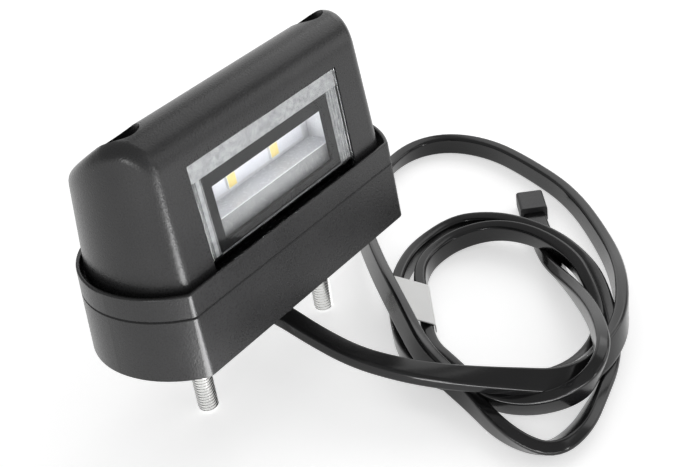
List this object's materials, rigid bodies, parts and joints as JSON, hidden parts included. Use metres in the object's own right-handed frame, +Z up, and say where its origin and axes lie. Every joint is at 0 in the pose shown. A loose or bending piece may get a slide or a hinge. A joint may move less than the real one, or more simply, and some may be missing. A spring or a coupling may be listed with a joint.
{
  "type": "number plate lamp",
  "caption": "Black moulded LED number plate lamp with a clear front lens, sloping hood, screw wells, threaded mounting studs under the base and a coiled flat cable.",
  "frame": {"origin": "centre of the mounting face under the base, midway between the two studs", "axes": "+Z up through the hood, +X along the long side, -Y the way the lens looks"},
  "size_m": [0.1555, 0.1109, 0.0794],
  "materials": {
    "black_plastic": "fine moulded texture",
    "clear_lens": "clear moulded plastic, frosted rim",
    "mask_plastic": "satin",
    "reflector_plastic": "glossy",
    "board_white": "white solder mask",
    "led_white": "moulded package",
    "led_phosphor": "phosphor gel",
    "resistor_ceramic": "matt",
    "diode_black": "moulded package",
    "seal_rubber": "matt",
    "stud_steel": "bright rolled thread",
    "screw_steel": "zinc plated",
    "grommet_rubber": "satin",
    "cable_sheath": "satin",
    "clamp_plastic": "moulded",
    "live_wire": "insulated",
    "earth_wire": "insulated",
    "label_paper": "bare",
    "connector_plastic": "moulded",
    "contact_brass": "bright"
  },
  "bodies": {
    "root": {"base_tray": "black_plastic", "collar_frame": "black_plastic", "hood": "black_plastic", "lens": "clear_lens", "window_mask": "mask_plastic", "reflector_tray": "reflector_plastic", "led_board": "board_white", "led_packages": "led_white", "led_phosphors": "led_phosphor", "series_resistors": "resistor_ceramic", "polarity_diode": "diode_black", "hood_seal": "seal_rubber", "tray_gasket": "seal_rubber", "mounting_studs": "stud_steel", "cover_screws": "screw_steel", "cable_grommet": "grommet_rubber", "cable_tail": "cable_sheath", "cord_clamp": "clamp_plastic", "clamp_screws": "screw_steel", "live_wire": "live_wire", "earth_wire": "earth_wire", "supply_cable": "cable_sheath", "cable_label": "label_paper", "connector_body": "connector_plastic", "connector_contacts": "contact_brass"}
  },
  "joints": []
}
